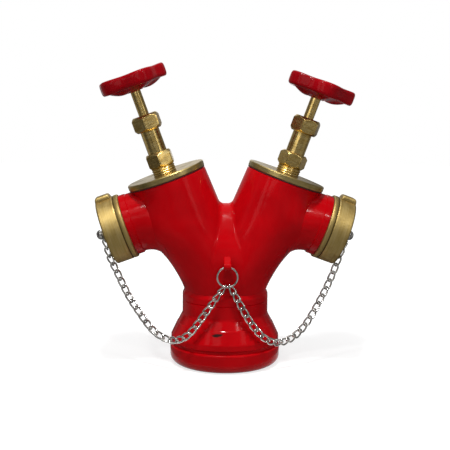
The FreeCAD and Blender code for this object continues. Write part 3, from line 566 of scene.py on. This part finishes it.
# Gland nut: the crowned hexagon outside, then over the top and down the stepped bore.
def glandNut(sideName, side):
    shape = nutShape
    turn = fullTurn(shape["roundSteps"])[:, None]
    heights, widths = hexagonBar(turn, shape, shape["bottom"], shape["top"], shape["cornerDeg"][sideName])
    inside = np.array([[shape["top"], shape["web"], shape["web"], shape["bottom"]]])
    insideWide = np.array([[shape["holeMm"], shape["holeMm"], shape["boreMm"], shape["boreMm"]]])
    radius = np.concatenate([widths, insideWide + 0 * turn], 1)
    station = np.concatenate([heights, inside], 1) + shape["backedOffMm"][sideName] + 0 * turn
    return turnedMesh(sideName + "GlandNut", turn, radius, station, valveAxis(side), valveBrass,
                      shape["crease"])


wheelShape = {    # radii, and heights in mm over the wheel's own station on the valve axis
    "station": 325.0, "openMm": {"left": 7.5, "right": 0.0}, "roundSteps": 180, "crease": 40,
    "lobes": 5, "lobeMm": 6.4, "lobeDeg": {"left": -137, "right": -153},
    "lobeFromMm": 15, "lobeGrowMm": 22,      # radius where the lobes begin, and how far until they are full
    "ribMm": 2.6, "ribPower": 0.8, "thinner": 0.07,
    "boreMm": 4.05, "hubMm": 10.6, "hubFootMm": 9.6, "hubTop": 13.0,
    "dishFoot": 0.9, "dishPower": 1.15, "dishSteps": 16,
    "rimMm": 39.4, "rimWideMm": 5.4, "rimMiddle": 14.5, "rimHalfMm": 8.7, "rimPower": 0.55,
    "rimArcDeg": (-115, 150), "rimSteps": 40, "rimFootMm": 1.5, "rimFootHigh": 11.6,
    # radius and height over the dish, from the foot of the rim to the top of the hub
    "overDish": ((22.0, 8.8), (11.8, 5.6), (10.6, 6.4), (10.1, 12.3), (9.2, 13.0)),
}


# Handwheel: the profile runs out under the dish, round the rim and back over the dish to the hub. The rim is
# a superellipse; the outline is drawn in by a cosine of five turns that grows with the radius, and five ribs
# of the same cosine squared swell under the dish, while the rim thins between the lobes.
def handWheel(sideName, side):
    shape = wheelShape
    turn = fullTurn(shape["roundSteps"])[:, None]
    lobe = 0.5 + 0.5 * np.cos(shape["lobes"] * (turn - math.radians(shape["lobeDeg"][sideName])))
    rimTurn = np.radians(np.linspace(*shape["rimArcDeg"], shape["rimSteps"]))
    rimWide = shape["rimMm"] + shape["rimWideMm"] * squarer(np.cos(rimTurn), shape["rimPower"])
    rimHigh = shape["rimMiddle"] + shape["rimHalfMm"] * squarer(np.sin(rimTurn), shape["rimPower"])
    share = np.linspace(0, 1, shape["dishSteps"])
    underWide = shape["hubMm"] + (rimWide[0] - shape["hubMm"]) * share
    underHigh = shape["dishFoot"] + (rimHigh[0] - shape["dishFoot"]) * share ** shape["dishPower"]
    rimFoot = (rimWide[-1] - shape["rimFootMm"], shape["rimFootHigh"])
    overWide, overHigh = np.array((rimFoot, *shape["overDish"], (shape["boreMm"], shape["hubTop"]))).T
    width = np.concatenate([[shape["boreMm"], shape["hubFootMm"]], underWide, rimWide[1:], overWide])
    height = np.concatenate([[0, 0], underHigh, rimHigh[1:], overHigh])
    swell = np.sin(math.pi * share) ** shape["ribPower"]
    underDish = np.concatenate([[0, 0], swell, 0 * rimWide[1:], 0 * overWide])
    onRim = np.concatenate([[0, 0], 0 * share, 1 + 0 * rimWide[1:], 0 * overWide])
    grow = easedStep(np.clip((width - shape["lobeFromMm"]) / shape["lobeGrowMm"], 0, 1))
    radius = width[None] - shape["lobeMm"] * (1 - lobe) * grow[None]
    station = height[None] - shape["ribMm"] * lobe ** 2 * underDish[None]
    station = station - (height - shape["rimMiddle"]) * shape["thinner"] * onRim * (1 - lobe)
    station = station + shape["station"] + shape["openMm"][sideName]
    return turnedMesh(sideName + "HandWheel", turn, radius, station, valveAxis(side), shadedWheelEnamel,
                      shape["crease"])


capShape = {    # radii, and stations in mm out along the outlet
    "boreMm": 37.1, "radiusMm": 41.5, "holeMm": 2.1, "start": 65.9, "end": 95.4, "innerFace": 88.9,
    "frontRoundMm": 1.8, "backRoundMm": 2.2, "faceMm": 22.0,
    "grooveStart": 71.9, "grooveEnd": 73.1, "grooveMm": 1.0, "lipMm": 0.3,
    "bossMm": 6.5, "bossTopMm": 5.2, "bossTop": 99.4,
    "bossRoundMm": 1.4, "bossTurnMm": 0.42, "bossDraftMm": 0.1,
    "lugStart": 74.8, "lugEnd": 94.8, "lugHalfMm": 10.5, "lugHighMm": 4.8, "lugRoundMm": 3.4, "lugSteps": 9,
    "roundSteps": 120, "edgeSteps": 8, "crease": 45,
    "sameHeight": 4,      # decimals of a millimetre to which two heights are one
}


# Outlet cap: the profile runs out along the wall, over the end and boss and back down the inside. The spanner
# lug is a flat-topped swelling of the wall, times a quarter circle up from each of its four edges.
def outletCap(sideName, side):
    shape = capShape
    quarter = np.linspace(0, math.pi / 2, shape["edgeSteps"])
    wall, front, back, face = shape["radiusMm"], shape["frontRoundMm"], shape["backRoundMm"], shape["end"]
    rootWide = wall - front * (1 - np.sin(quarter))
    rootHigh = shape["start"] + front * (1 - np.cos(quarter))
    low, high, lip = shape["grooveStart"], shape["grooveEnd"], shape["lipMm"]
    grooveWide = wall - np.array([0, lip, shape["grooveMm"], shape["grooveMm"], lip, 0])
    grooveHigh = np.array([low - lip, low, low, high, high, high + lip])
    edge = shape["lugRoundMm"] * (1 - np.cos(quarter))
    rise = np.concatenate([shape["lugStart"] + edge, shape["lugEnd"] - edge,
                           face - back + back * np.sin(quarter)])
    rise = np.unique(np.round(rise, shape["sameHeight"]))
    pastBand = np.clip(rise - (face - back), 0, back)
    bandWide = wall - back + np.sqrt(back ** 2 - pastBand ** 2)
    boss, bossTop, top = shape["bossMm"], shape["bossTopMm"], shape["bossTop"]
    ease, turnIn = shape["bossRoundMm"], shape["bossTurnMm"]
    endWide, endHigh = np.array((
        (shape["faceMm"], face), (boss + ease, face), (boss + turnIn, face + turnIn),
        (boss - shape["bossDraftMm"], face + ease), (bossTop, top - ease), (bossTop - turnIn, top - turnIn),
        (bossTop - ease, top), (shape["holeMm"], top), (shape["holeMm"], shape["innerFace"]),
        (shape["boreMm"], shape["innerFace"]), (shape["boreMm"], shape["start"]))).T
    width = np.concatenate([rootWide, grooveWide, bandWide, endWide])
    height = np.concatenate([rootHigh, grooveHigh, rise, endHigh])
    onBand = np.concatenate([0 * rootWide, 0 * grooveWide, 1 + 0 * bandWide, 0 * endWide])
    lugEdge = (shape["lugHalfMm"] - edge) / wall
    lugTop = np.linspace(-lugEdge[-1], lugEdge[-1], shape["lugSteps"])[1:-1]
    around = np.linspace(lugEdge[0], 2 * math.pi - lugEdge[0], shape["roundSteps"])[1:-1]
    turn = np.concatenate([-lugEdge, lugTop, lugEdge[::-1], around])[:, None]
    fromTop = np.abs((turn + math.pi) % (2 * math.pi) - math.pi)
    overSides = np.clip((shape["lugHalfMm"] - fromTop * wall) / shape["lugRoundMm"], 0, 1)
    inside = np.minimum(height - shape["lugStart"], shape["lugEnd"] - height)
    overEnds = np.clip(inside / shape["lugRoundMm"], 0, 1)[None]
    swell = np.sqrt(1 - (1 - overSides) ** 2) * np.sqrt(1 - (1 - overEnds) ** 2) * onBand[None]
    lugWide = (wall + shape["lugHighMm"]) / np.cos(np.minimum(fromTop, lugEdge[0]))
    radius = width[None] + (lugWide - width[None]) * swell
    station = height[None] + 0 * turn
    return turnedMesh(sideName + "OutletCap", turn, radius, station, outletAxis(side), capBrass,
                      shape["crease"])


for sideName, side in sides.items():
    turnings = ((stuffingBox, "hydrant", "brass", "_stuffing_box"),
                (glandNut, "hydrant", "brass", "_gland_nut"),
                (handWheel, sideName + "_wheel_unit", "red_enamel", "_handwheel"),
                (outletCap, sideName + "_cap_unit", "brass", "_outlet_cap"))
    for maker, body, slot, node in turnings:
        piece = maker(sideName, side)
        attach(piece, body)
        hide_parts(sideName + node)
print("valves and caps turned")


# Floor, light and camera

studio = {    # metres, watts, and degrees round from the front
    "floorRadius": 3.0, "floorCorners": 64, "floorTone": "#A8A8A8",
    "floorLift": {"From Min": 0.1, "From Max": 0.5, "To Min": 0.72, "To Max": 0.86},    # less under the part
    "skyLight": 0.5, "skyShown": 1.0,
    # each box: degrees round, degrees up, watts, width
    "boxReach": 1.6, "boxAim": (0, 0, 0.2),
    "boxes": ((-35, 49, 5.0, 0.10), (33, 36, 3.0, 0.10), (-12, 74, 20.5, 0.18)),
    "cardDark": "#4A4A4C", "cardPale": "#A2A2A2", "cardSteps": (36, 8),
    "blotch": 0.8, "blotchEdge": {"From Min": 0.38, "From Max": 0.62},
    "cardReach": 2.4, "cardRise": (-0.4, 4.2), "cardHalfTurn": 168,
    "floorCardFrom": 0.1, "floorCardRise": (0.001, 0.001),
    "stripReach": 0.55, "stripRise": (0.32, 0.9), "stripGlow": 2.0,
    "strips": ((-46, -36), (-30, -11), (35, 46)),
}


def backdropShown(tree):  # 1 for rays that show the backdrop: straight, mirrored or through glass
    path = addNode(tree, "LightPath", {}, out=None)
    shown = addNode(tree, "Math", {0: path["Is Camera Ray"], 1: path["Is Glossy Ray"]}, most)
    return addNode(tree, "Math", {0: shown, 1: path["Is Transmission Ray"]}, most)


def paleFloor():
    material, tree, place = newMaterial("paleStudioFloor")
    matt = addNode(tree, "BsdfDiffuse", {"Color": hexLinear(studio["floorTone"])})
    away = addNode(tree, "VectorMath", {0: place}, length, "Value")
    lifted = addNode(tree, "MapRange", {"Value": away, **studio["floorLift"]}, smooth)
    glow = addNode(tree, "Math", {0: backdropShown(tree), 1: lifted}, times)
    lift = addNode(tree, "Emission", {"Strength": glow})
    both = addNode(tree, "AddShader", {0: matt, 1: lift})
    addNode(tree, "OutputMaterial", {"Surface": both})
    turn = fullTurn(studio["floorCorners"])
    points = np.stack([np.cos(turn), np.sin(turn), 0 * turn], -1) * studio["floorRadius"]
    faceMesh("studioFloor", points, [list(range(len(turn)))], material)


def softBoxes():
    for number, (turn, rise, watts, width) in enumerate(studio["boxes"]):
        turn, rise = math.radians(turn), math.radians(rise)
        away = Vector((math.sin(turn) * math.cos(rise), -math.cos(turn) * math.cos(rise), math.sin(rise)))
        lamp = bpy.data.lights.new("softBox%d" % number, "AREA")
        lamp.shape = "SQUARE"
        lamp.size = width
        lamp.energy = watts
        holder = bpy.data.objects.new("softBox%d" % number, lamp)
        holder.location = Vector(studio["boxAim"]) + away * studio["boxReach"]
        holder.rotation_euler = (-away).to_track_quat("-Z", "Y").to_euler()
        bpy.context.scene.collection.objects.link(holder)


def whiteSky():
    world = bpy.data.worlds.new("whiteStudio")
    bpy.context.scene.world = world
    world.use_nodes = True
    tree = world.node_tree
    tree.nodes.clear()
    more = studio["skyShown"] - studio["skyLight"]
    strength = addNode(tree, "Math", {0: backdropShown(tree), 1: more, 2: studio["skyLight"]}, timesPlus)
    sky = addNode(tree, "Background", {"Color": (1, 1, 1, 1), "Strength": strength})
    addNode(tree, "OutputWorld", {"Surface": sky})


# Blotchy grey cards all round but behind, one on the floor, and three pale upright strips: they show only in
# reflections, and give the metals their dark sides and long lights.
def studioCards():
    grey, greyTree, place = newMaterial("greyStudioCard")
    blotches = addNode(greyTree, "TexNoise", {"Vector": place, "Scale": 1 / studio["blotch"], "Detail": 1})
    share = addNode(greyTree, "MapRange", {"Value": blotches, **studio["blotchEdge"]}, smooth)
    tone = addNode(greyTree, "Mix", {
        0: share, 6: hexLinear(studio["cardDark"]), 7: hexLinear(studio["cardPale"])}, colours, 2)
    dim = addNode(greyTree, "Emission", {"Color": tone, "Strength": 1.0})
    addNode(greyTree, "OutputMaterial", {"Surface": dim})
    pale, paleTree = newMaterial("paleStudioStrip")[:2]
    glow = addNode(paleTree, "Emission", {"Strength": studio["stripGlow"]})
    addNode(paleTree, "OutputMaterial", {"Surface": glow})
    half, reach, stripReach = studio["cardHalfTurn"], studio["cardReach"], studio["stripReach"]
    cards = [("greyWallCard", -half, half, reach, reach, *studio["cardRise"], grey),
             ("greyFloorCard", -180, 180, studio["floorCardFrom"], reach, *studio["floorCardRise"], grey)]
    cards += [("paleStrip%d" % number, *ends, stripReach, stripReach, *studio["stripRise"], pale)
              for number, ends in enumerate(studio["strips"])]
    around, upward = studio["cardSteps"]
    for name, start, end, near, far, low, high, material in cards:
        turn = np.radians(np.linspace(start, end, around))[:, None]
        radius, height = np.linspace(near, far, upward)[None], np.linspace(low, high, upward)[None]
        points = np.stack([radius * np.sin(turn), -radius * np.cos(turn), height + 0 * turn], -1)
        card = gridMesh(name, points, False, False, material)
        card.visible_camera = False
        card.visible_diffuse = False
        card.visible_shadow = False


cameraPlace = {
    "spot": (-57.28 * mm, -1273.78 * mm, 365.06 * mm),
    "look": (0.04367, 0.98825, -0.14646),
    "rollDeg": 0.532, "lens": 81.30, "sensor": 36.0,
}


def photoCamera():
    look = Vector(cameraPlace["look"]).normalized()
    right = look.cross(Vector((0, 0, 1))).normalized()
    up = right.cross(look)
    roll = math.radians(cameraPlace["rollDeg"])
    right, up = right * math.cos(roll) + up * math.sin(roll), up * math.cos(roll) - right * math.sin(roll)
    camera = bpy.data.cameras.new("photoCamera")
    camera.lens = cameraPlace["lens"]
    camera.sensor_width = cameraPlace["sensor"]
    holder = bpy.data.objects.new("photoCamera", camera)
    turned = Matrix((right, up, -look)).transposed().to_4x4()
    holder.matrix_world = Matrix.Translation(cameraPlace["spot"]) @ turned
    bpy.context.scene.collection.objects.link(holder)
    bpy.context.scene.camera = holder


paleFloor()
softBoxes()
whiteSky()
studioCards()
photoCamera()
bpy.context.scene.view_settings.view_transform = "Standard"
print("studio set")
